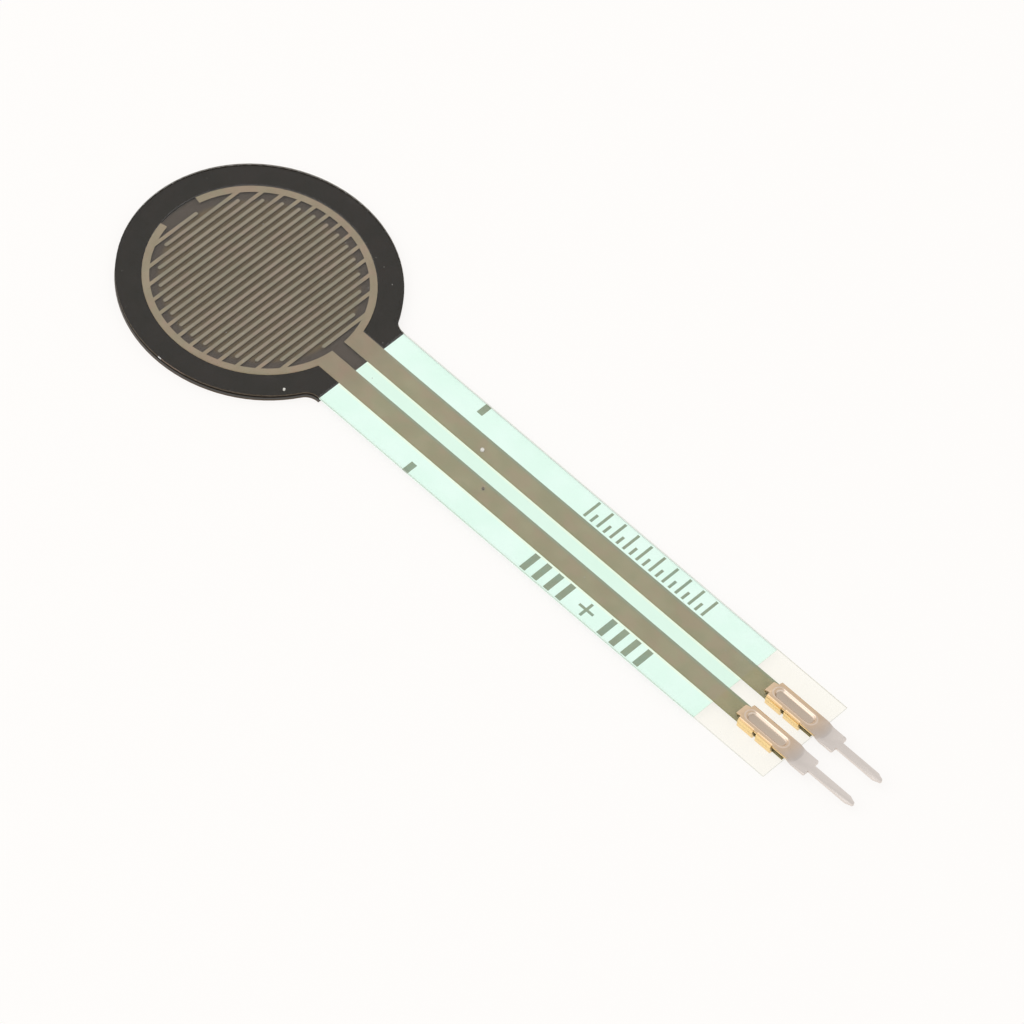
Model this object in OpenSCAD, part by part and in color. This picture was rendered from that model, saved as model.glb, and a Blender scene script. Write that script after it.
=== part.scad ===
// Force sensing resistor: a round sensing head on a long flat tail with two crimped pins.
// The head lies centred on the origin with its release liner on z = 0. The tail runs along
// +X, and +Z is the side of the clear film that carries the silver combs underneath.

/* [Head] */
// Diameter of the round head
head_d = 18.28; // [15:0.02:24]
// Radius of the fillets between head and tail
neck_fillet = 1; // [0.4:0.1:2]
// Straight length of black neck past the fillets
neck_land = 0.08; // [0.05:0.01:2]
// Width of the black rim, from the head's edge to the hole in the spacer
rim_w = 1.66; // [0.8:0.02:2]
// Width of the bus ring
bus_w = 0.49; // [0.3:0.01:0.6]
// Clearance between the bus ring and the hole in the spacer
bus_clear = 0.02; // [0.01:0.01:0.2]
// Half angle of the gap that parts the bus ring opposite the tail
bus_gap_angle = 12; // [6:1:25]

/* [Fingers] */
// Distance between the bus ring and the circle that the free ends of the fingers reach
finger_end_gap = 0.57; // [0.3:0.01:1.2]
// Width of one finger
finger_w = 0.25; // [0.12:0.01:0.3]
// Distance from one finger to the next
finger_pitch = 0.508; // [0.4:0.002:0.8]

/* [Tail] */
// Width of the tail
tail_w = 7.62; // [6.6:0.02:9]
// Length of the clear film, from the back of the head to the end of the tail
film_len = 56.34; // [54:0.02:70]
// Clear length at the tail's end that the mint cover leaves bare
bare_len = 5.9; // [5.4:0.1:8]
// Distance from trace to trace, and so from pin to pin
pin_pitch = 2.54; // [2.4:0.02:3]
// Width of one silver trace
trace_w = 1.48; // [1.2:0.02:1.56]
// Distance from the ends of the traces to the end of the film
trace_setback = 0.1; // [0.1:0.1:2]
// Width of the air channel in the spacer's neck
vent_w = 1.3; // [0.6:0.1:1.6]

/* [Layers] */
// Thickness of the release liner
liner_t = 0.1; // [0.08:0.01:0.2]
// Thickness of the adhesive on the back
adhesive_t = 0.05; // [0.03:0.01:0.1]
// Thickness of the carbon film
carbon_film_t = 0.13; // [0.08:0.01:0.2]
// Thickness of the carbon ink
carbon_ink_t = 0.02; // [0.01:0.01:0.04]
// Thickness of the black spacer
spacer_t = 0.13; // [0.1:0.01:0.2]
// Thickness of the clear electrode film
film_t = 0.13; // [0.08:0.01:0.2]
// Thickness of the silver print
print_t = 0.02; // [0.01:0.005:0.03]
// Thickness of the mint cover over the print
cover_t = 0.04; // [0.035:0.005:0.08]

/* [Print] */
// Distance from the head's centre to the pair of edge ticks
tick_x = 16.5; // [12:0.1:24]
// Width of an edge tick
tick_w = 0.46; // [0.3:0.02:0.8]
// Length of an edge tick, inwards from the film's edge
tick_len = 0.9; // [0.5:0.1:1.2]
// Distance from the head's centre to the middle of the bars and of the scale
marks_x = 31.34; // [28:0.02:33]
// Number of bars in each of the two groups
bar_count = 4; // [2:1:5]
// Width of a bar
bar_w = 0.46; // [0.3:0.02:0.6]
// Distance from bar to bar
bar_pitch = 1.016; // [0.8:0.004:1.1]
// Distance between the middles of the two groups of bars
bar_groups = 6.62; // [6.5:0.02:8]
// Gap between a mark and the film's edge, and between a mark and its trace
mark_margin = 0.15; // [0.08:0.01:0.3]
// Stroke of the scale's lines and of the cross
stroke_w = 0.2; // [0.12:0.02:0.3]
// Distance from line to line along the scale
scale_pitch = 0.56; // [0.5:0.02:0.8]
// Number of lines in the scale
scale_count = 19; // [7:2:19]
// Length of the scale's short lines
scale_short = 0.7; // [0.4:0.1:0.9]
// Length of each arm pair of the registration cross
cross_len = 1.2; // [0.8:0.1:1.3]

/* [Contacts] */
// Thickness of the sheet that the contacts are stamped from
sheet_t = 0.18; // [0.12:0.01:0.2]
// Height of the contact's plate above the film
plate_lift = 0.16; // [0.12:0.01:0.24]
// Width of the contact over its tines
body_w = 1.58; // [1.5:0.02:1.8]
// Length of film that the contact's plate covers
body_len = 3.85; // [3.7:0.05:4.5]
// Width of the lip at the contact's front
lip_w = 0.86; // [0.5:0.02:1.2]
// Length of the lip that slopes down to the film
lip_len = 0.4; // [0.3:0.05:0.6]
// Width of the pressed groove at its rim
groove_w = 0.8; // [0.6:0.02:0.84]
// Slope of the groove's wall, as run sideways from rim to floor
groove_draft = 0.13; // [0.05:0.01:0.2]
// Distance from the plate's front edge to the groove
groove_front = 0.16; // [0.1:0.02:0.4]
// Distance from the groove's rear end to the end of the film
groove_rear = 0.5; // [0.4:0.02:1]
// Distance from the plate's front edge to the first tine
tine_inset = 0.02; // [0.01:0.01:0.1]
// Length of one tine
tine_len = 1.24; // [1:0.02:1.3]
// Distance between the two tines of a side
tine_gap = 0.28; // [0.2:0.02:0.5]
// Outer radius of a tine's curled end
curl_r = 0.2; // [0.19:0.01:0.22]
// Inner radius of the bend from plate to tine
bend_inner = 0.03; // [0.02:0.01:0.06]
// Clearance between a tine and its slot in film and print
slot_clear = 0.02; // [0.01:0.01:0.04]
// Distance that the raised plate runs on past the end of the film
plate_overrun = 0.1; // [0.05:0.01:0.3]
// Length of the slope from the raised plate down to the shoulder
slope_len = 0.45; // [0.2:0.05:0.6]
// Size of the plate's cut corners; the shoulder's are half of it
corner_cut = 0.14; // [0.05:0.01:0.2]
// Width of the plate and the shoulder, between and behind the tines
plate_w = 1.42; // [1.3:0.02:1.5]
// Distance from the end of the film to the shoulder's end
shoulder_reach = 1.65; // [1.2:0.05:2.5]
// Width of a pin
pin_w = 0.58; // [0.4:0.02:0.8]
// Distance from the end of the film to the pin's tip
pin_reach = 5.2; // [4:0.1:8]
// Length of the pin's tapered tip
tip_len = 0.5; // [0.3:0.05:0.8]
// Width of the pin's tip
tip_w = 0.3; // [0.2:0.02:0.38]

/* [Hidden] */
$fn = 96;

// Heights of the layers, from the liner up
adhesive_z = liner_t;
carbon_film_z = adhesive_z + adhesive_t;
carbon_ink_z = carbon_film_z + carbon_film_t;
spacer_z = carbon_ink_z + carbon_ink_t;
film_z = spacer_z + spacer_t;
film_top = film_z + film_t;
print_z = film_z - print_t;

// Outline of head and tail
head_r = head_d / 2;
tail_half = tail_w / 2;
film_end = film_len - head_r;
fillet_x = sqrt(pow(head_r + neck_fillet, 2) - pow(tail_half + neck_fillet, 2));
neck_end = fillet_x + neck_land;
cover_end = film_end - bare_len;

// Silver print
bus_r = head_r - rim_w - bus_clear;
bus_inner_r = bus_r - bus_w;
active_r = bus_inner_r - finger_end_gap;
trace_y = pin_pitch / 2;
trace_inner_y = trace_y - trace_w / 2;
trace_outer_y = trace_y + trace_w / 2;
trace_end = film_end - trace_setback;
finger_half_count = floor(active_r / finger_pitch + 0.5);

// Marks in the strips beside the traces
mark_low_y = trace_outer_y + mark_margin;
mark_len = tail_half - mark_margin - mark_low_y;
mark_mid_y = mark_low_y + mark_len / 2;

// Contacts, measured along x from the end of the film and up from its top
bend_r = sheet_t + bend_inner;
tine_front = -body_len + tine_inset;
curl_y = body_w / 2 - curl_r;
curl_z = curl_r - film_top;
groove_r = groove_w / 2;
groove_floor_r = groove_r - groove_draft;

// Cutters reach this far past what they cut
past = 0.1;
// A length longer than the whole part
far = 200;

// Head with the two fillets that lead into the tail
module head_outline() {
    circle(d = head_d);
    for (side = [0, 1])
        mirror([0, side])
            difference() {
                polygon([[0, 0], [fillet_x, 0], [fillet_x, tail_half + neck_fillet]]);
                translate([fillet_x, tail_half + neck_fillet]) circle(r = neck_fillet);
            }
}

// Keyhole outline of head and tail, cut square at x = reach
module keyhole(reach) {
    intersection() {
        union() {
            head_outline();
            translate([0, -tail_half]) square([reach, tail_w]);
        }
        translate([-head_r, -head_r]) square([head_r + reach, head_d]);
    }
}

// Slots that the tines of both contacts pass through
module tine_slots() {
    slot_w = sheet_t + 2 * slot_clear;
    for (y = [-trace_y, trace_y], side = [-1, 1], n = [0, 1])
        translate([film_end + tine_front + n * (tine_len + tine_gap) - slot_clear,
                   y + side * (body_w - sheet_t) / 2 - slot_w / 2])
            square([tine_len + 2 * slot_clear, slot_w]);
}

// Half of the bus ring, from the gap at the back to the inner edge of its trace
module half_bus() {
    difference() {
        circle(r = bus_r);
        circle(r = bus_inner_r);
        translate([0, trace_inner_y - far]) square(far);
        rotate(180) square(far);
        rotate(180 - bus_gap_angle) square(far);
    }
}

// Straight trace, from the inside of the bus ring to its end under the contact
module trace() {
    difference() {
        translate([0, trace_inner_y]) square([trace_end, trace_w]);
        circle(r = bus_inner_r);
    }
}

// One finger that hangs from the upper bus at x and ends in a round tip
module finger(x) {
    root_y = sqrt(pow(bus_r - bus_w / 2, 2) - x * x);
    tip_y = finger_w / 2 - sqrt(max(0, active_r * active_r - x * x));
    translate([x - finger_w / 2, tip_y]) square([finger_w, root_y - tip_y]);
    translate([x, tip_y]) circle(d = finger_w);
}

// Comb of every second finger with its bus and trace, drawn for the upper side
module comb_outline(first) {
    difference() {
        union() {
            half_bus();
            trace();
            for (n = [first : 2 : finger_half_count - 1]) finger((n + 0.5) * finger_pitch);
        }
        tine_slots();
    }
}

module upper_comb_outline() {
    comb_outline(finger_half_count % 2 == 0 ? -finger_half_count : 1 - finger_half_count);
}

module lower_comb_outline() {
    mirror([0, 1]) comb_outline(finger_half_count % 2 == 0 ? 1 - finger_half_count : -finger_half_count);
}

// Two ticks that run in from the film's edges
module tick_outline() {
    for (side = [0, 1])
        mirror([0, side]) translate([tick_x - tick_w / 2, tail_half - tick_len]) square([tick_w, tick_len]);
}

// Two groups of bars in the lower strip
module bar_outline() {
    for (group = [-0.5, 0.5], n = [0 : bar_count - 1])
        translate([marks_x + group * bar_groups + (n - (bar_count - 1) / 2) * bar_pitch, -mark_mid_y])
            square([bar_w, mark_len], center = true);
}

// Plain scale in the upper strip: long and short lines by turns, on one base
module scale_outline() {
    for (n = [0 : scale_count - 1])
        translate([marks_x + (n - (scale_count - 1) / 2) * scale_pitch - stroke_w / 2, mark_low_y])
            square([stroke_w, n % 2 == 0 ? mark_len : scale_short]);
}

// Registration cross between the groups of bars
module cross_outline() {
    translate([marks_x, -mark_mid_y]) {
        square([cross_len, stroke_w], center = true);
        square([stroke_w, cross_len], center = true);
    }
}

// All print that lies under the mint cover
module covered_print() {
    upper_comb_outline();
    lower_comb_outline();
    tick_outline();
    bar_outline();
    scale_outline();
    cross_outline();
}

// Layer of one outline between two heights
module layer(z, t) {
    translate([0, 0, z]) linear_extrude(height = t) children();
}

module release_liner() {
    color("peru") layer(0, liner_t) keyhole(neck_end);
}

module rear_adhesive() {
    color("wheat") layer(adhesive_z, adhesive_t) keyhole(neck_end);
}

module carbon_film() {
    color("dimgray") layer(carbon_film_z, carbon_film_t) keyhole(neck_end);
}

module carbon_ink() {
    color([0.37, 0.35, 0.31]) layer(carbon_ink_z, carbon_ink_t) keyhole(neck_end);
}

// Black adhesive ring with its air channel and the shallow beds of the two traces
module spacer() {
    color([0.23, 0.23, 0.22])
        difference() {
            layer(spacer_z, spacer_t)
                difference() {
                    keyhole(neck_end);
                    circle(r = bus_r + bus_clear);
                    translate([0, -vent_w / 2]) square([far, vent_w]);
                }
            layer(print_z, print_t + past) {
                upper_comb_outline();
                lower_comb_outline();
            }
        }
}

module upper_comb() {
    color([0.63, 0.58, 0.49]) layer(print_z, print_t) upper_comb_outline();
}

module lower_comb() {
    color([0.63, 0.58, 0.49]) layer(print_z, print_t) lower_comb_outline();
}

module edge_ticks() {
    color([0.5, 0.56, 0.5]) layer(print_z, print_t) tick_outline();
}

module bar_marks() {
    color([0.5, 0.56, 0.5]) layer(print_z, print_t) bar_outline();
}

module scale_marks() {
    color([0.5, 0.56, 0.5]) layer(print_z, print_t) scale_outline();
}

module cross_mark() {
    color([0.5, 0.56, 0.5]) layer(print_z, print_t) cross_outline();
}

// Mint dielectric under the tail, with the print sunk into it
module mint_cover() {
    color([0.84, 0.97, 0.91])
        difference() {
            layer(film_z - cover_t, cover_t)
                translate([neck_end, -tail_half]) square([cover_end - neck_end, tail_w]);
            layer(print_z, print_t + past) covered_print();
        }
}

module electrode_film() {
    color([0.95, 0.95, 0.9, 0.4])
        layer(film_z, film_t)
            difference() {
                keyhole(film_end);
                tine_slots();
            }
}

// Side view of the sheet: lip, raised plate, step down, shoulder and pin
module contact_side() {
    lift = [[-body_len - lip_len, 0], [-body_len, plate_lift], [plate_overrun, plate_lift],
            [plate_overrun + slope_len, 0], [pin_reach, 0]];
    back = [for (n = [len(lift) - 1 : -1 : 0]) [lift[n][0], lift[n][1] + sheet_t]];
    polygon(concat(lift, back));
}

// One half of the contact's flat outline, on the side of positive y
module contact_half_plan() {
    front = -body_len;
    side = plate_w / 2;
    polygon([[front - lip_len, 0], [front - lip_len, lip_w / 2], [front, lip_w / 2],
             [front, side - corner_cut], [front + corner_cut, side],
             [shoulder_reach - corner_cut / 2, side],
             [shoulder_reach, side - corner_cut / 2], [shoulder_reach, pin_w / 2],
             [pin_reach - tip_len, pin_w / 2], [pin_reach - tip_w / 2, tip_w / 2],
             [pin_reach - tip_w / 2, 0]]);
}

module contact_plan() {
    contact_half_plan();
    mirror([0, 1]) contact_half_plan();
    translate([pin_reach - tip_w / 2, 0]) circle(d = tip_w);
}

// Formed sheet: where the side view and the flat outline meet
module contact_sheet() {
    intersection() {
        translate([0, far / 2, 0]) rotate([90, 0, 0]) linear_extrude(height = far) contact_side();
        translate([0, 0, -far / 2]) linear_extrude(height = far) contact_plan();
    }
}

// Long tub with round ends and sloped walls, from floor_z up to rim_z
module tub(floor_z, rim_z, floor_r, rim_r) {
    front_x = groove_front - body_len + groove_r;
    rear_x = -groove_rear - groove_r;
    height = rim_z - floor_z;
    for (x = [front_x, rear_x])
        translate([x, 0, floor_z]) cylinder(h = height, r1 = floor_r, r2 = rim_r);
    translate([front_x, 0, floor_z])
        rotate([90, 0, 90])
            linear_extrude(height = rear_x - front_x)
                polygon([[-floor_r, 0], [floor_r, 0], [rim_r, height], [-rim_r, height]]);
}

// Ring sector of a bent sheet, in the quarter that the two signs pick
module bend(radius, side_y, side_z) {
    intersection() {
        difference() {
            circle(r = radius);
            circle(r = radius - sheet_t);
        }
        mirror([side_y < 0 ? 1 : 0, 0]) mirror([0, side_z < 0 ? 1 : 0]) square(radius);
    }
}

// End view of a tine: bend at the plate, wall through the film, curl back up to the trace
module tine_profile() {
    wall_y = body_w / 2 - sheet_t;
    bend_z = plate_lift + sheet_t - bend_r;
    tip_y = curl_y - curl_r;
    translate([body_w / 2 - bend_r, bend_z]) bend(bend_r, 1, 1);
    translate([wall_y, curl_z]) square([sheet_t, bend_z - curl_z]);
    translate([curl_y, curl_z]) bend(curl_r, 1, -1);
    translate([curl_y, curl_z]) bend(curl_r, -1, -1);
    translate([tip_y, curl_z]) square([sheet_t, -film_t - print_t - curl_z]);
}

// The four tines of a contact
module tines() {
    for (side = [0, 1], n = [0, 1])
        mirror([0, side, 0])
            translate([tine_front + n * (tine_len + tine_gap), 0, 0])
                rotate([90, 0, 90]) linear_extrude(height = tine_len) tine_profile();
}

// The round bends replace the square edges of the plate above the tines
module tine_relief() {
    for (side = [0, 1], n = [0, 1])
        mirror([0, side, 0])
            translate([tine_front + n * (tine_len + tine_gap), body_w / 2 - bend_r, plate_lift - past])
                cube([tine_len, bend_r + past, sheet_t + 2 * past]);
}

// One stamped contact, in place at the end of the film
module contact() {
    groove_floor_z = sheet_t;
    translate([film_end, 0, film_top])
        difference() {
            union() {
                difference() {
                    contact_sheet();
                    tine_relief();
                }
                tub(0, plate_lift + sheet_t / 2, groove_floor_r, groove_r);
                tines();
            }
            tub(groove_floor_z, plate_lift + sheet_t, groove_floor_r, groove_r);
        }
}

module upper_contact() {
    color([0.85, 0.72, 0.5]) translate([0, trace_y, 0]) contact();
}

module lower_contact() {
    color([0.85, 0.72, 0.5]) translate([0, -trace_y, 0]) contact();
}

release_liner();
rear_adhesive();
carbon_film();
carbon_ink();
spacer();
upper_comb();
lower_comb();
edge_ticks();
bar_marks();
scale_marks();
cross_mark();
mint_cover();
electrode_film();
upper_contact();
lower_contact();
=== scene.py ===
# %% [markdown]
# # A force sensing resistor in the light tent
#
# The object is a flat sandwich: a clear film with silver combs printed under it, a black
# adhesive ring, a film with carbon ink, and a peel-off liner. Two stamped contacts are
# crimped through the end of its tail. The solids come from the packed CAD model, in metres,
# and this lesson gives them their finishes, their small rounded edges, the light and the
# camera. Loading comes first, because most later sizes are read off the CAD nodes.

# %% Load the packed solids
import math

import bpy
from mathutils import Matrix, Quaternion, Vector


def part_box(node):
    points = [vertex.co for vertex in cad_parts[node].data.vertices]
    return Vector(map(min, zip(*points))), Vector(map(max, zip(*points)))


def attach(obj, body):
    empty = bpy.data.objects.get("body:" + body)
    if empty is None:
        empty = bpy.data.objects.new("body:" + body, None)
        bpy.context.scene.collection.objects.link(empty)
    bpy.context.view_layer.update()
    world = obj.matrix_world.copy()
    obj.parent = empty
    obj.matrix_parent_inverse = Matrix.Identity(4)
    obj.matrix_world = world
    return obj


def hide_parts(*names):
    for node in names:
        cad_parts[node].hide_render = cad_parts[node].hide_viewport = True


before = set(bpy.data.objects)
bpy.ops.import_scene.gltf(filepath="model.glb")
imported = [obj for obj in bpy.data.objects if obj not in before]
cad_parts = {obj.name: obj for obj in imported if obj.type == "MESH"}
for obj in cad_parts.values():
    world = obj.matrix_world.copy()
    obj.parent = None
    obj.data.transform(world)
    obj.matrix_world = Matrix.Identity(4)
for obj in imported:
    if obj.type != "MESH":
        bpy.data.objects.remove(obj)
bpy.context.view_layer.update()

MM = 0.001
print("nodes:", ", ".join(sorted(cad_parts)))

# %% [markdown]
# ## Measures
#
# Positions could be typed in as numbers, but then a new size in the CAD source would leave
# the finishes behind. So the places that the finishes need are measured on the nodes: where
# the film and the mint print end, the lines that the contacts lie on, the two sides of a
# trace, and the hole in the spacer.

# %% Measure the nodes
film_low, film_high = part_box("electrode_film")
mint_low, mint_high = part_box("mint_cover")
contact_low, contact_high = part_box("upper_contact")
film_end = film_high.x
film_top = film_high.z
film_under = film_low.z
neck_end = mint_low.x
mint_end = mint_high.x
tail_half = mint_high.y
contact_line = (contact_low.y + contact_high.y) / 2
contact_start = contact_low.x
trace_ys = [v.co.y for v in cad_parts["upper_comb"].data.vertices if v.co.x > neck_end]
trace_inner, trace_outer = min(trace_ys), max(trace_ys)
hole_r = min(math.hypot(v.co.x, v.co.y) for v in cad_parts["spacer"].data.vertices)
plate_top = contact_high.z
print(f"film ends at {film_end / MM:.2f} mm, mint at {mint_end / MM:.2f} mm, "
      f"contacts at y = {contact_line / MM:.2f} mm, traces from {trace_inner / MM:.2f} "
      f"to {trace_outer / MM:.2f} mm, hole in the spacer {hole_r / MM:.2f} mm in radius")

# %% [markdown]
# ## Shader maths as plain expressions
#
# A procedural finish is arithmetic on positions and noise. Adding each Math node by hand
# hides the formula, so a small class wraps an output socket and overloads the operators:
# writing `1 - mask * 0.5` then adds the nodes. Every other node comes from one method, which
# takes the node's type, its settings and the values or links of its sockets.

# %% A wire that can be calculated with
class Wire:
    """An output socket; each operator on it adds the Math node of that name."""
    def __init__(self, finish, socket):
        self.finish = finish
        self.socket = socket

    def math(self, operation, *others):
        inputs = {n: value for n, value in enumerate((self, *others))}
        return self.finish.add("ShaderNodeMath", {"operation": operation}, inputs)

    def __add__(self, other):
        return self.math("ADD", other)

    def __radd__(self, other):
        return self.math("ADD", other)

    def __sub__(self, other):
        return self.math("SUBTRACT", other)

    def __rsub__(self, other):
        return self.finish.add("ShaderNodeMath", {"operation": "SUBTRACT"}, {0: other, 1: self})

    def __mul__(self, other):
        return self.math("MULTIPLY", other)

    def __rmul__(self, other):
        return self.math("MULTIPLY", other)

    def __truediv__(self, other):
        return self.math("DIVIDE", other)

    def larger(self, other):
        return self.math("MAXIMUM", other)

    def size(self):
        return self.math("ABSOLUTE")

    def step(self, start, end):
        """0 before start, 1 past end, and a soft ramp between them; start may be the larger."""
        return self.finish.add("ShaderNodeMapRange", {"interpolation_type": "SMOOTHSTEP"},
                               {"Value": self, "From Min": start, "From Max": end})


print("a wire takes + - * /, larger, size and step")

# %% A finish: one material and its nodes
class Finish:
    """A new material whose nodes are added one by one; x, y and z are the place on the part."""
    def __init__(self, name):
        self.material = bpy.data.materials.new(name)
        self.material.use_nodes = True
        self.tree = self.material.node_tree
        self.tree.nodes.clear()
        self.place = self.add("ShaderNodeTexCoord", out="Object")
        split = self.add("ShaderNodeSeparateXYZ", {}, {"Vector": self.place})
        self.x = Wire(self, split.socket.node.outputs["X"])
        self.y = Wire(self, split.socket.node.outputs["Y"])
        self.z = Wire(self, split.socket.node.outputs["Z"])

    def add(self, kind, settings=None, sockets=None, out=0):
        """A node with its settings made and its sockets filled or linked; gives its output."""
        node = self.tree.nodes.new(kind)
        for name, value in (settings or {}).items():
            if name == "stops":
                while len(node.color_ramp.elements) < len(value):
                    node.color_ramp.elements.new(0.5)
                for stop, (place, colour) in zip(node.color_ramp.elements, value):
                    stop.position = place
                    stop.color = (*colour, 1)
            else:
                setattr(node, name, value)
        for name, value in (sockets or {}).items():
            if isinstance(value, Wire):
                self.tree.links.new(value.socket, node.inputs[name])
            elif isinstance(value, tuple) and len(node.inputs[name].default_value) == 4:
                node.inputs[name].default_value = (*value, 1)
            else:
                node.inputs[name].default_value = value
        return Wire(self, node.outputs[out])

    def noise(self, per_mm, detail=2.0, stretch=(1, 1, 1), rough=0.5):
        """Noise from 0 to 1 around 0.5, with about per_mm blobs in a millimetre."""
        place = self.place
        if stretch != (1, 1, 1):
            place = self.add("ShaderNodeVectorMath", {"operation": "MULTIPLY"},
                             {0: place, 1: stretch})
        sockets = {"Vector": place, "Scale": per_mm / MM, "Detail": detail, "Roughness": rough}
        return self.add("ShaderNodeTexNoise", {}, sockets)

    def mix_colours(self, blend_type, share, first, second):
        """A Mix node set to colours; its colour sockets are inputs 6 and 7 and output 2."""
        settings = {"data_type": "RGBA", "blend_type": blend_type}
        return self.add("ShaderNodeMix", settings, {0: share, 6: first, 7: second}, out=2)

    def blend(self, share, first, second):
        """A colour that goes from first to second as share goes from 0 to 1."""
        return self.mix_colours("MIX", share, first, second)

    def multiply(self, share, first, second):
        """first times second, as far as share says."""
        return self.mix_colours("MULTIPLY", share, first, second)

    def relief(self, height, depth_mm, strength=1.0):
        """A normal from a height that runs from 0 to 1, depth_mm deep."""
        return self.add("ShaderNodeBump", {},
                        {"Height": height, "Distance": depth_mm * MM, "Strength": strength})

    def spot(self, x_mm, y_mm, radius_mm):
        """1 inside a small round spot seen from above, with a soft edge."""
        away = self.add("ShaderNodeVectorMath", {"operation": "DISTANCE"},
                        {0: self.add("ShaderNodeCombineXYZ", {}, {"X": self.x, "Y": self.y}),
                         1: (x_mm * MM, y_mm * MM, 0)}, out="Value")
        return away.step(radius_mm * MM, 0.55 * radius_mm * MM)

    def from_centre(self):
        """Distance from the head's centre, seen from above."""
        return (self.x * self.x + self.y * self.y).math("SQRT")

    def line(self, distance, width_mm):
        """1 along a thin line, where distance is 0, with soft sides."""
        return distance.size().step(0.65 * width_mm * MM, 0.35 * width_mm * MM)

    def principled(self, **sockets):
        """The usual surface shader, with its sockets by name."""
        named = {name.replace("_", " "): value for name, value in sockets.items()}
        return self.add("ShaderNodeBsdfPrincipled", {}, named)

    def close(self, shader):
        """The finished material, with shader on its surface."""
        output = self.tree.nodes.new("ShaderNodeOutputMaterial")
        self.tree.links.new(shader.socket, output.inputs["Surface"])
        return self.material


print("a finish has", ", ".join(name for name in vars(Finish) if not name.startswith("_")))

# %% Colours as a paint shop writes them
def paint(red, green, blue):
    """The linear colour of an 8-bit screen colour."""
    def linear(value):
        share = value / 255
        return share / 12.92 if share <= 0.04045 else ((share + 0.055) / 1.055) ** 2.4
    return (linear(red), linear(green), linear(blue))


def dress(material, *nodes):
    """Gives CAD nodes a material in place of their plain one."""
    for node in nodes:
        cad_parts[node].data.materials.clear()
        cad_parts[node].data.materials.append(material)


print("mid grey is", tuple(round(v, 3) for v in paint(128, 128, 128)))

# %% [markdown]
# ## Silver ink
#
# The combs and traces are screen-printed silver paste, seen through the film that they are
# printed on. It dries to a matt warm grey, a little cloudy where the squeegee left more or
# less paste, with a fine grain of flakes and the print of the screen's mesh. A metal shader
# alone would turn it into foil, so only a small share of metal is used, and the cloudiness
# and grain go into the colour. On the tail each trace is painted with a soft grey green band
# along its far edge and an olive one along its near edge. The
# fingers are a little cooler than the ring, and the ink thins out to brown at their sides,
# which are found by the distance from the middle of the nearest finger.

# %% Silver ink finish
TAIL_TONE = (1.07, 1.20, 1.12)
FINGER_TONE = (0.76, 0.90, 1.04)
FINGER_PITCH = 0.508 * MM
FINGER_HALF = 0.125 * MM
FINGERS_END = 6.3 * MM


def trace_tones(ink, colour):
    """The combs' ink, darker in the fingers, greener on the tail and banded along each trace."""
    on_tail = ink.x.step(neck_end - MM, neck_end + 3 * MM)
    far_start, far_full = 0.3 * MM, 0.05 * MM
    near_start, near_full = 0.16 * MM, 0.03 * MM
    far_upper = ink.y.step(trace_outer - far_start, trace_outer - far_full)
    far_lower = (ink.y.step(-trace_inner - far_start, -trace_inner - far_full)
                 * ink.y.step(trace_inner, 0))
    far_band = far_upper.larger(far_lower)
    near_lower = ink.y.step(-trace_outer + near_start, -trace_outer + near_full)
    near_upper = (ink.y.step(trace_inner + near_start, trace_inner + near_full)
                  * ink.y.step(0, trace_inner))
    near_band = near_lower.larger(near_upper)
    in_fingers = ink.from_centre().step(FINGERS_END + 0.4 * MM, FINGERS_END)
    from_middle = ((ink.x / FINGER_PITCH).math("FRACT") - 0.5).size() * FINGER_PITCH
    thin_side = (from_middle.step(FINGER_HALF - 0.055 * MM, FINGER_HALF)
                 * ink.from_centre().step(FINGERS_END + 0.05 * MM, FINGERS_END))
    colour = ink.multiply(on_tail, colour, TAIL_TONE)
    colour = ink.multiply(in_fingers * 0.5, colour, FINGER_TONE)
    colour = ink.blend(thin_side * 0.5, colour, paint(94, 80, 61))
    colour = ink.blend(far_band * on_tail * 0.7, colour, paint(143, 157, 138))
    return ink.blend(near_band * on_tail * 0.6, colour, paint(146, 146, 106))


def silver_ink(name, dark, light, warm, cool, has_traces=False):
    """Cloudy, grainy silver paste between four tones, with the tones of a comb if it is one."""
    ink = Finish(name)
    cloud = ink.noise(0.55, detail=3).step(0.35, 0.65)
    tinge = ink.noise(0.8, detail=2)
    grain = ink.noise(11, detail=2)
    mesh_turn = ink.add("ShaderNodeVectorRotate", {"rotation_type": "Z_AXIS"},
                        {"Vector": ink.place, "Angle": math.radians(22.5)})
    mesh = ink.add("ShaderNodeTexVoronoi", {"distance": "CHEBYCHEV"},
                   {"Vector": mesh_turn, "Scale": 9 / MM, "Randomness": 0.15})
    colour = ink.blend(cloud * 0.6 + grain * 0.4, dark, light)
    colour = ink.blend(tinge.step(0.52, 0.62) * 0.5, colour, warm)
    colour = ink.blend(tinge.step(0.48, 0.38) * 0.5, colour, cool)
    if has_traces:
        colour = trace_tones(ink, colour)
    shader = ink.principled(
        Base_Color=colour, Metallic=0.2, Roughness=0.5 + grain * 0.15, Specular_IOR_Level=0.0,
        Normal=ink.relief(grain * 0.7 + mesh * 0.3, 0.003, 0.35))
    return ink.close(shader)


comb_finish = silver_ink("silver_ink", paint(149, 135, 113), paint(158, 145, 123),
                         paint(160, 138, 120), paint(146, 138, 115), has_traces=True)
mark_finish = silver_ink("silver_marks", paint(145, 158, 136), paint(154, 168, 144),
                         paint(150, 158, 136), paint(144, 166, 148))
dress(comb_finish, "upper_comb", "lower_comb")
dress(mark_finish, "edge_ticks", "bar_marks", "scale_marks", "cross_mark")
print("silver on 2 combs and 4 sets of marks")
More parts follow.
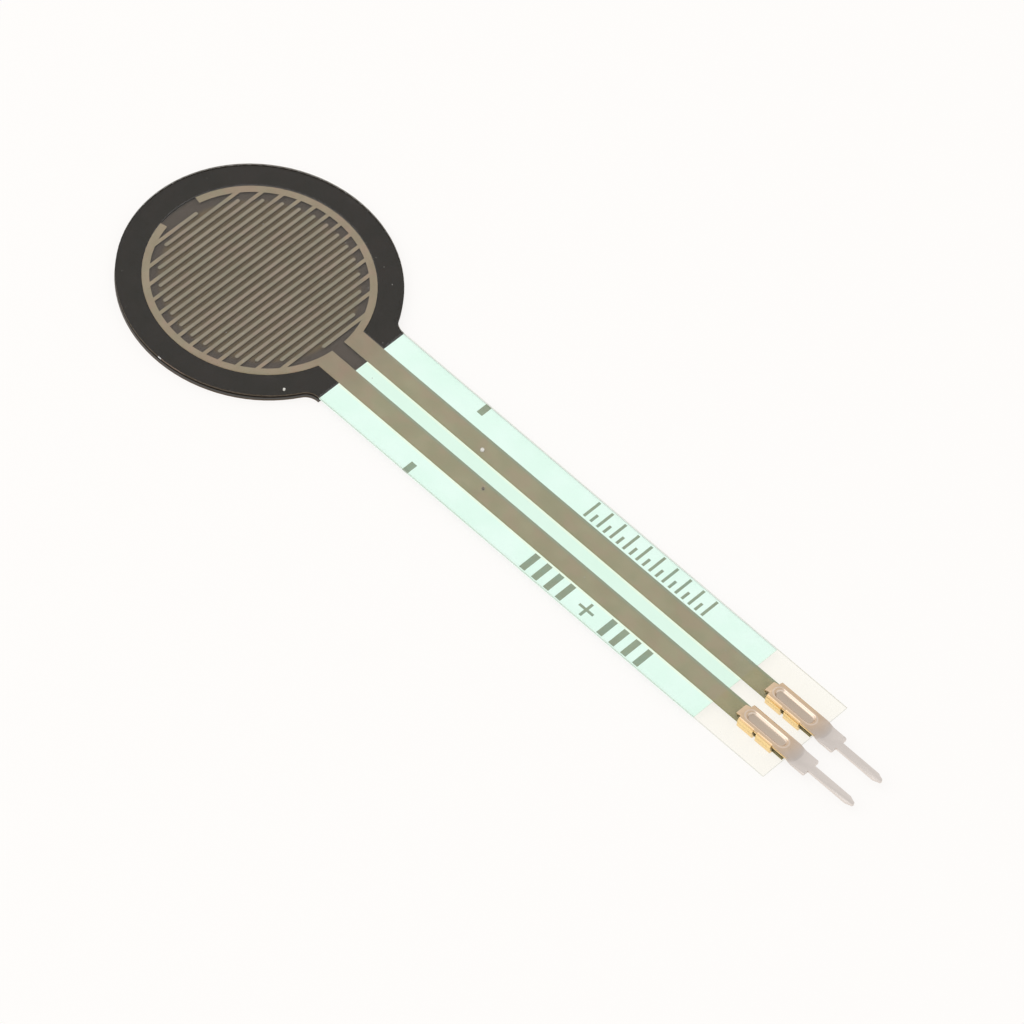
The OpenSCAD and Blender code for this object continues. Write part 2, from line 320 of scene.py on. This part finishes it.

# %% [markdown]
# ## Mint print
#
# A pale green dielectric covers the traces on the tail. The ink lets some light through, so
# it is a little uneven in tint at the scale of millimetres, and its surface has the slight
# orange peel of printed lacquer. Two greens mixed by slow noise do this without a pattern
# that the eye can follow. Between the traces the print lies thicker and its green is deeper.
# At the far edge of the tail it is painted with a thin grey line, and beside the near edge
# of each trace it is a paler yellow.

# %% Mint finish
YELLOW_WIDTH = 0.16
YELLOW_OFF = 0.07 * MM

mint = Finish("mint_print")
mint_cloud = mint.noise(0.35, detail=3).step(0.3, 0.7)
mint_peel = mint.noise(3.5, detail=2)
mint_between = mint.y.size().step(trace_inner + 0.03 * MM, trace_inner - 0.03 * MM)
mint_edge = mint.y.step(tail_half - 0.10 * MM, tail_half - 0.04 * MM)
mint_colour = mint.blend(mint_cloud, paint(226, 251, 239), paint(232, 253, 244))
mint_colour = mint.blend(mint_between * 0.7, mint_colour, paint(221, 246, 231))
mint_colour = mint.blend(mint_edge * 0.7, mint_colour, paint(208, 220, 214))
mint_yellow = mint.line(mint.y - trace_inner + YELLOW_OFF, YELLOW_WIDTH).larger(
    mint.line(mint.y + trace_outer + YELLOW_OFF, YELLOW_WIDTH))
mint_colour = mint.blend(mint_yellow * 0.5, mint_colour, paint(247, 252, 226))
mint_shader = mint.principled(
    Base_Color=mint_colour, Roughness=0.45 + mint_peel * 0.15, Specular_IOR_Level=0.0,
    Normal=mint.relief(mint_peel, 0.003, 0.25))
dress(mint.close(mint_shader), "mint_cover")
print("mint from", round(neck_end / MM, 2), "to", round(mint_end / MM, 2), "mm")

# %% [markdown]
# ## The dark layers of the head
#
# Between the fingers the carbon ink shows, a matt brown grey with a fine tooth that the
# sensor needs to work, browner under the fingers and more purple beside the ring. The rim is
# black adhesive seen through the film, deeper and smoother. It carries the film's gloss as a
# coat on its top: a mirror in the film over black would be drawn by few rays, and leave the
# rim grainy.
# The carbon film, the adhesive on the back and the tan liner only show as thin lines at the
# edge, and in full from behind.

# %% Carbon ink, black adhesive, carbon film
FILM_GLOSS = 0.07

carbon = Finish("carbon_ink")
tooth = carbon.noise(9, detail=4, rough=0.7)
carbon_cloud = carbon.noise(0.8, detail=2)
under_fingers = carbon.from_centre().step(6.6 * MM, 6.1 * MM)
carbon_mix = tooth * 0.5 + carbon_cloud * 0.5
carbon_by_ring = carbon.blend(carbon_mix, paint(71, 63, 55), paint(90, 81, 73))
carbon_by_fingers = carbon.blend(carbon_mix, paint(99, 84, 59), paint(115, 100, 77))
carbon_shader = carbon.principled(
    Base_Color=carbon.blend(under_fingers, carbon_by_ring, carbon_by_fingers),
    Roughness=0.7 + tooth * 0.2, Specular_IOR_Level=0.1, Normal=carbon.relief(tooth, 0.004, 0.4))
dress(carbon.close(carbon_shader), "carbon_ink")

black = Finish("black_adhesive")
black_cloud = black.noise(0.7, detail=3).step(0.3, 0.7)
black_grain = black.noise(5, detail=2)
black_shader = black.principled(
    Base_Color=black.blend(black_cloud * 0.7 + black_grain * 0.3, (0.0110, 0.0095, 0.0058),
                           (0.0180, 0.0135, 0.0100)),
    Roughness=0.5 + black_grain * 0.15, Specular_IOR_Level=0.0,
    Coat_Weight=black.z.step(film_under - 0.008 * MM, film_under - 0.004 * MM),
    Coat_Roughness=FILM_GLOSS)
dress(black.close(black_shader), "spacer")

backing = Finish("carbon_film")
backing_cut = backing.noise(6, detail=3, stretch=(1, 1, 0.2))
backing_shader = backing.principled(
    Base_Color=backing.blend(backing_cut, (0.02, 0.019, 0.018), (0.045, 0.042, 0.038)),
    Roughness=0.35 + backing_cut * 0.2, Normal=backing.relief(backing_cut, 0.006, 0.5))
dress(backing.close(backing_shader), "carbon_film")
print("three dark layers")

# %% [markdown]
# ## Adhesive and release liner
#
# The liner is tan silicone-coated paper. Paper is a felt of fibres, so its colour is broken
# up by two noises stretched along and across the sheet, and a few darker flecks. Its die-cut
# edge is painted dark brown, told apart by height: only the underside lies at z = 0. The
# transfer adhesive above it is a cloudy brown line.

# %% Adhesive and liner finishes
gum = Finish("transfer_adhesive")
gum_cloud = gum.noise(2.5, detail=3)
gum_shader = gum.principled(
    Base_Color=gum.blend(gum_cloud, (0.05, 0.036, 0.022), (0.11, 0.08, 0.05)),
    Roughness=0.4 + gum_cloud * 0.2, Normal=gum.relief(gum_cloud, 0.01, 0.4))
dress(gum.close(gum_shader), "rear_adhesive")

liner = Finish("liner_paper")
fibres_along = liner.noise(5, detail=3, stretch=(0.18, 1, 1), rough=0.6)
fibres_across = liner.noise(5, detail=3, stretch=(1, 0.22, 1), rough=0.6)
felt = fibres_along * 0.5 + fibres_across * 0.5
flecks = liner.noise(1.6, detail=1).step(0.68, 0.74)
cut_edge = liner.z.step(0.002 * MM, 0.008 * MM)
liner_colour = liner.blend(felt.step(0.3, 0.7), paint(176, 140, 100), paint(206, 172, 130))
liner_colour = liner.blend(cut_edge, liner_colour,
                           liner.blend(felt, paint(44, 34, 24), paint(82, 64, 45)))
liner_shader = liner.principled(
    Base_Color=liner.blend(flecks * 0.35, liner_colour, paint(110, 82, 55)),
    Roughness=0.62 + felt * 0.2, Normal=liner.relief(felt, 0.02, 0.6))
dress(liner.close(liner_shader), "release_liner")
print("adhesive and liner")

# %% [markdown]
# ## Helpers for modelling by operator
#
# An operator acts on whatever is selected, and the loaded nodes all are, so each piece starts
# from an empty selection. Faces are then picked in code by where they point.

# %% Selection helpers
def deselect():
    """Nothing is selected, and no piece is in edit mode."""
    if bpy.context.object and bpy.context.object.mode != "OBJECT":
        bpy.ops.object.mode_set(mode="OBJECT")
    bpy.ops.object.select_all(action="DESELECT")


def take(piece):
    """piece alone is selected and active."""
    deselect()
    piece.select_set(True)
    bpy.context.view_layer.objects.active = piece


def pick_faces(piece, wanted):
    """Selects the faces of piece, in edit mode, that wanted(face) says."""
    bpy.ops.object.mode_set(mode="OBJECT")
    for part in (piece.data.vertices, piece.data.edges):
        part.foreach_set("select", [False] * len(part))
    for face in piece.data.polygons:
        face.select = wanted(face)
    bpy.ops.object.mode_set(mode="EDIT")
    bpy.ops.mesh.select_mode(type="FACE")


def merged_copy(node, name):
    """A copy of a CAD node with its loose triangles welded into whole faces."""
    piece = bpy.data.objects.new(name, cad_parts[node].data.copy())
    bpy.context.scene.collection.objects.link(piece)
    piece.data.materials.clear()
    take(piece)
    bpy.ops.object.mode_set(mode="EDIT")
    bpy.ops.mesh.select_all(action="SELECT")
    bpy.ops.mesh.remove_doubles(threshold=0.0002 * MM)
    bpy.ops.mesh.dissolve_limited(angle_limit=math.radians(0.5))
    bpy.ops.object.mode_set(mode="OBJECT")
    print(name, "has", len(piece.data.polygons), "faces after the weld")
    return piece


deselect()
print("selected pieces:", len(bpy.context.selected_objects))

# %% [markdown]
# ## The clear film
#
# The film is polyester that one looks straight through, so real glass would only add noise.
# Three shaders are mixed: a Transparent one with a faint tint, a dusty one wherever specks and
# scuffs lie, and a mirror whose share follows Fresnel's law. The print hides the film's warm
# tint, and the bare end shows it, so the sheet is bisected where the mint stops. It is also
# bisected where the head ends, because the mirror is left out over its black rim. The film
# touches the print under it, and two faces at one height fight for each ray, so the film's
# underside is lifted by a few thousandths of a millimetre. The die-cut edge is frosted, darker
# where it borders the black head, and the punched slots are left almost clear.

# %% Finishes of the film
NICK_X, NICK_Y = 0.2, -9.13
WHITE_SPECKS = ((18.6, 1.0, 0.16), (7.1, -5.0, 0.1))
DARK_SPECK = (20.7, -1.1, 0.13)
FILM_IOR = 1.5


def film_face(name, tint, over_rim=False):
    """Clear film with a tint, dust and a mirror; over_rim leaves the mirror off the rim."""
    face = Finish(name)
    clear = face.add("ShaderNodeBsdfTransparent", {}, {"Color": tint})
    scuffs = face.noise(1.1, detail=4, stretch=(0.35, 1, 1), rough=0.65).step(0.62, 0.8) * 0.01
    specks = face.noise(4.2, detail=1).step(0.80, 0.84) * 0.4
    white_specks = face.spot(*WHITE_SPECKS[0]).larger(face.spot(*WHITE_SPECKS[1]))
    dark_speck = face.spot(*DARK_SPECK)
    dust = (scuffs + specks).larger(white_specks * 0.75).larger(dark_speck * 0.6)
    dust_colour = face.blend(specks, (0.8, 0.78, 0.72), (0.95, 0.93, 0.9))
    dusty = face.principled(
        Base_Color=face.blend(dark_speck, dust_colour, (0.09, 0.07, 0.045)), Roughness=0.6)
    seen = face.add("ShaderNodeMixShader", {}, {"Fac": dust, 1: clear, 2: dusty})
    wave = face.noise(0.25, detail=2)
    normal = face.relief(wave, 0.02, 0.3)
    mirror = face.add("ShaderNodeBsdfGlossy", {},
                      {"Color": (1, 1, 1), "Roughness": FILM_GLOSS, "Normal": normal})
    fresnel = face.add("ShaderNodeFresnel", {}, {"IOR": FILM_IOR})
    outside = 1 - face.add("ShaderNodeNewGeometry", out="Backfacing")
    if over_rim:
        border = 0.01 * MM
        over_traces = face.y.size().step(trace_outer + border, trace_outer) * face.x.step(0, MM)
        over_hole = face.from_centre().step(hole_r, hole_r - border)
        outside = outside * over_traces.larger(over_hole)
    both = face.add("ShaderNodeMixShader", {}, {"Fac": fresnel * outside, 1: seen, 2: mirror})
    return face.close(both)


def film_edge(name, frosted):
    """A cut edge that is clear but for the share frosted, and dark beside the black head."""
    edge = Finish(name)
    cut = edge.noise(8, detail=3, stretch=(1, 1, 0.15))
    on_head = edge.x.step(neck_end + 0.05 * MM, neck_end - 0.05 * MM)
    nick = edge.spot(NICK_X, NICK_Y, 0.16)
    # Painted highlight: a lighter brown glint on the dark cut edge beside the nick.
    edge_glint = edge.spot(NICK_X + 1.0, NICK_Y, 1.1) * 0.5
    pale = edge.blend(cut, (0.5, 0.5, 0.44), (0.72, 0.72, 0.66))
    dark = edge.blend(cut, (0.055, 0.038, 0.024), (0.125, 0.095, 0.065))
    dark = edge.blend(edge_glint, dark, (0.27, 0.19, 0.15))
    colour = edge.blend(nick, edge.blend(on_head, pale, dark), (0.75, 0.74, 0.72))
    frost = edge.principled(
        Base_Color=colour, Roughness=0.5 + cut * 0.2, Specular_IOR_Level=0.2,
        Normal=edge.relief(cut, 0.01, 0.5))
    clear = edge.add("ShaderNodeBsdfTransparent", {}, {"Color": (0.95, 0.95, 0.92)})
    share = (cut * 0.7 + 0.65) * frosted + on_head * 0.4
    return edge.close(edge.add("ShaderNodeMixShader", {}, {"Fac": share, 1: clear, 2: frost}))


print("film of index", FILM_IOR, "and roughness", FILM_GLOSS)

# %% Cut the sheet where the head ends and where the mint stops, and lift its underside
UPRIGHT = 0.5
LIFT = 0.004 * MM

clear_sheet = merged_copy("electrode_film", "clear_sheet")
bpy.ops.object.mode_set(mode="EDIT")
bpy.ops.mesh.select_all(action="SELECT")
bpy.ops.mesh.bisect(plane_co=(mint_end, 0, 0), plane_no=(1, 0, 0))
bpy.ops.mesh.select_all(action="SELECT")
bpy.ops.mesh.bisect(plane_co=(neck_end, 0, 0), plane_no=(1, 0, 0))
pick_faces(clear_sheet, lambda face: face.normal.z < -UPRIGHT)
bpy.ops.transform.translate(value=(0, 0, LIFT))
bpy.ops.object.mode_set(mode="OBJECT")
print("clear sheet from z =", round(min(v.co.z for v in clear_sheet.data.vertices) / MM, 4), "mm")

# %% Give each face of the sheet its finish
def sheet_finish(face):
    """Number of the finish: over head, over print, bare, outer edge or wall of a slot."""
    if abs(face.normal.z) > UPRIGHT:
        return 0 if face.center.x < neck_end else 1 if face.center.x < mint_end else 2
    inside = abs(face.center.y) < contact_high.y + 0.1 * MM
    return 4 if inside and contact_start < face.center.x < film_end - 0.1 * MM else 3


for finish in (film_face("film_on_head", (0.998, 0.996, 0.992), over_rim=True),
               film_face("film_on_print", (0.999, 0.999, 0.996)),
               film_face("film_bare", (1.0, 0.994, 0.966)),
               film_edge("film_edge", 0.45), film_edge("slot_wall", 0.06)):
    clear_sheet.data.materials.append(finish)
for face in clear_sheet.data.polygons:
    face.material_index = sheet_finish(face)
finishes = range(len(clear_sheet.data.materials))
counts = [sum(face.material_index == n for face in clear_sheet.data.polygons) for n in finishes]
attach(clear_sheet, "root")
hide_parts("electrode_film")
print("faces over head, over print, bare, outer edge, slot walls:", counts)

# %% [markdown]
# ## The contacts
#
# Each contact is stamped from one strip: gold flashed where it bites through the film, tin
# coloured at the pin. A stamping has no sharp edges, and without a rounding no edge catches
# the light. A bevel of one width would do for the cut edges, but the pressed groove is drawn,
# not cut, and its rim and floor are rounder. So those two loops are bevelled first by hand,
# picked by their height, and a modifier with an angle limit then takes the cut edges. The
# plating is painted along an arc measured from the film's end, and by depth in the groove.
# Painted light is mixed into it: painted shade on the slope down to the pin, along the crease
# and at the top of the tines' bend, and painted highlights on the groove's walls and rim.

# %% Heights and widths of the pressed groove
RIM_ROUND = 0.05 * MM
EDGE_ROUND = 0.018 * MM
SHARP = math.radians(24)

points = [v.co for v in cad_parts["upper_contact"].data.vertices]
groove_floor = min(p.z for p in points if p.z > film_top + 0.1 * MM
                   and abs(p.y - contact_line) < 0.3 * MM and p.x < film_end - 1.5 * MM)
groove_points = [p for p in points if abs(p.z - groove_floor) < 0.001 * MM
                 and p.x < film_end - 0.4 * MM and abs(p.y - contact_line) < 0.35 * MM]
groove_start = min(p.x for p in groove_points)
groove_end = max(p.x for p in groove_points)
print(f"groove floor {(plate_top - groove_floor) / MM:.2f} mm deep, from x = "
      f"{groove_start / MM:.2f} to {groove_end / MM:.2f} mm")

# %% Tones of the groove
GROOVE_HALF = 0.44 * MM
GROOVE_REACH = 0.18 * MM
RIM_OUT = 0.42 * MM
SLOT_END = 0.24 * MM
SOFT = 0.02 * MM


def groove_tones(strip, plate, across, depth, patch):
    """The plate's colour with painted highlights on the groove's walls and rim, and its brown
    floor.
    """
    low_x, high_x = groove_start - GROOVE_REACH, groove_end + GROOVE_REACH
    in_groove = (across.step(GROOVE_HALF, GROOVE_HALF - 1.5 * SOFT)
                 * strip.x.step(low_x, low_x + SOFT) * strip.x.step(high_x, high_x - SOFT))
    down = depth / (plate_top - groove_floor)
    # Painted highlight: the groove's walls are pale at the middle of their depth and darker
    # toward rim and floor.
    wall_highlight = (down - 0.5).size().step(0.34, 0.1)
    wall = strip.blend(wall_highlight, (0.62, 0.49, 0.38), (0.84, 0.71, 0.59))
    floor = strip.blend(patch, (0.69, 0.57, 0.49), (0.66, 0.58, 0.46))
    plate = strip.blend(in_groove * down.step(0.02, 0.22), plate, wall)
    plate = strip.blend(in_groove * down.step(0.78, 0.98), plate, floor)

    groove_middle = (groove_start + groove_end) / 2
    straight_half = (groove_end - groove_start) / 2 - SLOT_END
    past_ends = ((strip.x - groove_middle).size() - straight_half).larger(0)
    from_slot = (across * across + past_ends * past_ends).math("SQRT")
    # Painted highlight: a bright line round the rim of the groove.
    rim = strip.line(from_slot - RIM_OUT, 0.10)
    return strip.blend(rim * 0.6, plate, (0.90, 0.76, 0.66))


print("groove painted out to", round(RIM_OUT / MM, 2), "mm from its middle line")

# %% Contact finish
# The plating's colour along the strip; the dip to the darker stop at 0.50 is painted shade on the
# slope down to the pin.
PLATING_AND_SLOPE_SHADE = ((0.00, (0.80, 0.595, 0.405)), (0.20, (0.73, 0.56, 0.41)), (0.37, (0.71, 0.585, 0.485)),
           (0.50, (0.67, 0.59, 0.53)), (0.56, (0.78, 0.71, 0.66)), (1.00, (0.83, 0.76, 0.71)))
PLATING_START, PLATING_END = -1.0 * MM, 2.0 * MM
ARC_RADIUS = 3 * MM
CREASE_AT = 0.62 * MM


def plated_strip(name, line_y):
    """Gold at the tines, tan on the plate and tin grey past the crease, from the film's end, with
    painted shade and highlights.
    """
    strip = Finish(name)
    across = (strip.y - line_y).size()
    along = strip.x - film_end + across * across * (1 / ARC_RADIUS)
    depth = plate_top - strip.z
    streak = strip.noise(7, detail=3, stretch=(0.12, 1, 1), rough=0.6)
    patch = strip.noise(1.5, detail=2)

    wander = (patch - 0.5) * (0.5 * MM) * along.step(0.5 * MM, 0.1 * MM)
    share = (along + wander - PLATING_START) / (PLATING_END - PLATING_START)
    plate = strip.add("ShaderNodeValToRGB", {"stops": PLATING_AND_SLOPE_SHADE}, {"Fac": share})
    # Painted shade: a grey line along the crease where the strip bends down to the pin.
    crease = strip.line(along - CREASE_AT, 0.14) * across.step(0.66 * MM, 0.3 * MM)
    plate = strip.blend(crease * 0.22, plate, (0.45, 0.41, 0.39))
    plate = groove_tones(strip, plate, across, depth, patch)

    # The tines' own gold below the plate's edge, with painted shade: darker brown orange near the
    # top of the bend, full gold lower down.
    off_top = across.step(0.56 * MM, 0.64 * MM) * along.step(0.4 * MM, 0.15 * MM)
    side = strip.blend(depth.step(0.05 * MM, 0.12 * MM), (0.55, 0.37, 0.19), (1.0, 0.75, 0.38))
    plate = strip.blend(off_top * depth.step(0.006 * MM, 0.028 * MM), plate, side)
    tone = strip.blend(streak * 0.5 + patch * 0.5, (0.84, 0.83, 0.82), (1.0, 1.0, 1.0))
    shader = strip.principled(
        Base_Color=strip.multiply(0.5, plate, tone), Metallic=1.0,
        Roughness=0.24 + streak * 0.1 + share.step(0.3, 0.6) * 0.1,
        Normal=strip.relief(streak, 0.003, 0.2))
    return strip.close(shader)


print(f"plating changes from {PLATING_START / MM:.1f} to {PLATING_END / MM:.1f} mm past the film")

# %% Round the contacts' edges
RIM_REACH, FLOOR_REACH = 0.42 * MM, 0.3 * MM


def pick_loop(piece, line_y, height, reach):
    """Selects the edges of the groove that lie at one height, in edit mode."""
    bpy.ops.object.mode_set(mode="OBJECT")
    mesh = piece.data
    for part in (mesh.vertices, mesh.edges, mesh.polygons):
        part.foreach_set("select", [False] * len(part))
    for edge in mesh.edges:
        ends = [mesh.vertices[v].co for v in edge.vertices]
        edge.select = all(abs(p.z - height) < 0.001 * MM and abs(p.y - line_y) < reach
                          and p.x < groove_end + 0.2 * MM and p.x > groove_start - 0.2 * MM
                          for p in ends)
        for v in edge.vertices:
            mesh.vertices[v].select = mesh.vertices[v].select or edge.select
    bpy.ops.object.mode_set(mode="EDIT")
    bpy.ops.mesh.select_mode(type="EDGE")
    return sum(edge.select for edge in mesh.edges)


def rounded_contact(node, name, line_y):
    """A copy of a contact with its groove and cut edges rounded, in place of the node."""
    piece = merged_copy(node, name)
    for height, reach in ((plate_top, RIM_REACH), (groove_floor, FLOOR_REACH)):
        picked = pick_loop(piece, line_y, height, reach)
        bpy.ops.mesh.bevel(offset=RIM_ROUND, segments=3, affect="EDGES", clamp_overlap=True)
        print(name, "rounds", picked, "edges of the groove at z =", round(height / MM, 2), "mm")
    bpy.ops.object.mode_set(mode="OBJECT")
    bevel = piece.modifiers.new("edge_rounding", "BEVEL")
    bevel.width = EDGE_ROUND
    bevel.segments = 2
    bevel.limit_method = "ANGLE"
    bevel.angle_limit = SHARP
    bevel.use_clamp_overlap = True
    take(piece)
    bpy.ops.object.modifier_apply(modifier=bevel.name)
    for vertex in piece.data.vertices:
        vertex.co.z = min(vertex.co.z, plate_top)
    bpy.ops.object.shade_smooth_by_angle(angle=math.radians(35))
    piece.data.materials.append(plated_strip(name + "_plating", line_y))
    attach(piece, "root")
    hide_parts(node)
    print(name, "has", len(piece.data.polygons), "faces with its edges rounded")


rounded_contact("upper_contact", "contact_upper", contact_line)
rounded_contact("lower_contact", "contact_lower", -contact_line)

# %% [markdown]
# ## Floor and light
#
# The sensor lies in a light tent on white card. The sky is a soft vertical gradient, brighter
# at the horizon than overhead, so that flat metal reads darker than its walls. One large
# soft lamp adds a little direction. The card is seen white through Light Path, and still
# takes a faint part of the object's shadow.

# %% Sky
WHITE_SEEN = paint(255, 253, 251)
SKY_GREYS = ((0.0, 1.0), (0.75, 0.80), (1.0, 0.66))

world = bpy.data.worlds.new("light_tent")
bpy.context.scene.world = world
world.use_nodes = True
sky = world.node_tree
sky.nodes.clear()
sky_place = sky.nodes.new("ShaderNodeTexCoord")
sky_split = sky.nodes.new("ShaderNodeSeparateXYZ")
sky.links.new(sky_place.outputs["Generated"], sky_split.inputs["Vector"])
sky_ramp = sky.nodes.new("ShaderNodeValToRGB")
sky_ramp.color_ramp.elements.new(0.5)
for stop, (height, grey) in zip(sky_ramp.color_ramp.elements, SKY_GREYS):
    stop.position = height
    stop.color = (grey, grey, grey, 1)
sky.links.new(sky_split.outputs["Z"], sky_ramp.inputs["Fac"])
sky_light = sky.nodes.new("ShaderNodeBackground")
sky.links.new(sky_ramp.outputs["Color"], sky_light.inputs["Color"])
sky_seen = sky.nodes.new("ShaderNodeBackground")
sky_seen.inputs["Color"].default_value = (*WHITE_SEEN, 1)
sky_rays = sky.nodes.new("ShaderNodeLightPath")
sky_mix = sky.nodes.new("ShaderNodeMixShader")
sky.links.new(sky_rays.outputs["Is Camera Ray"], sky_mix.inputs["Fac"])
sky.links.new(sky_light.outputs["Background"], sky_mix.inputs[1])
sky.links.new(sky_seen.outputs["Background"], sky_mix.inputs[2])
sky_out = sky.nodes.new("ShaderNodeOutputWorld")
sky.links.new(sky_mix.outputs["Shader"], sky_out.inputs["Surface"])
print("sky greys from the horizon up:", [grey for height, grey in SKY_GREYS])

# %% Card
GLOW_SHARE = 0.86
CARD_SIZE = 4
CARD_GAP = 0.02 * MM

card_finish = Finish("white_card")
card_grain = card_finish.noise(0.4, detail=3)
card_matt = card_finish.principled(
    Base_Color=card_finish.blend(card_grain, (0.90, 0.89, 0.88), (0.92, 0.91, 0.90)),
    Roughness=0.9)
card_glow = card_finish.add("ShaderNodeEmission", {}, {"Color": WHITE_SEEN})
camera_ray = card_finish.add("ShaderNodeLightPath", out="Is Camera Ray")
light_path = camera_ray.socket.node
seen_ray = camera_ray.larger(Wire(card_finish, light_path.outputs["Is Glossy Ray"]))
seen_ray = seen_ray.larger(Wire(card_finish, light_path.outputs["Is Transmission Ray"]))
card_mix = card_finish.add("ShaderNodeMixShader", {},
                           {"Fac": seen_ray * GLOW_SHARE, 1: card_matt, 2: card_glow})
deselect()
bpy.ops.mesh.primitive_plane_add(size=CARD_SIZE, location=(20 * MM, 0, -CARD_GAP))
card = bpy.context.object
card.name = "white_card"
card.data.materials.append(card_finish.close(card_mix))
print("card", CARD_SIZE, "m wide,", round(CARD_GAP / MM, 3), "mm under the liner")

# %% Soft lamp
lamp_data = bpy.data.lights.new("soft_box", "AREA")
lamp_data.shape = "DISK"
lamp_data.size = 1.0
lamp_data.energy = 2.7
lamp = bpy.data.objects.new("soft_box", lamp_data)
bpy.context.scene.collection.objects.link(lamp)
lamp_aim = Vector((20, 0, 0)) * MM
lamp.location = Vector((-350, -320, 620)) * MM
lamp.rotation_euler = (lamp_aim - lamp.location).to_track_quat("-Z", "Y").to_euler()
print("lamp", round((lamp.location - lamp_aim).length, 2), "m away")

# %% [markdown]
# ## Camera
#
# The long lens and the steep angle come from fitting the head's circle, the ring and the
# tail's edges. The camera is placed by where it stands, what it looks at and how far it is
# rolled, because those three can be checked by eye.

# %% Camera
camera_data = bpy.data.cameras.new("camera")
camera_data.sensor_width = 36
camera_data.lens = 335.0
camera_data.clip_start = 0.01
camera_data.clip_end = 20
camera = bpy.data.objects.new("camera", camera_data)
bpy.context.scene.collection.objects.link(camera)
camera_place = Vector((224.447, -289.178, 475.535)) * MM
camera_target = Vector((23.122, -1.008, 0.435)) * MM
camera_roll = math.radians(11.05)
towards = camera_target - camera_place
turn = towards.to_track_quat("-Z", "Y") @ Quaternion((0, 0, 1), camera_roll)
camera.location = camera_place
camera.rotation_euler = turn.to_euler()
bpy.context.scene.camera = camera
bpy.context.scene.view_settings.view_transform = "Standard"
print("camera", round(towards.length, 3), "m from its target")
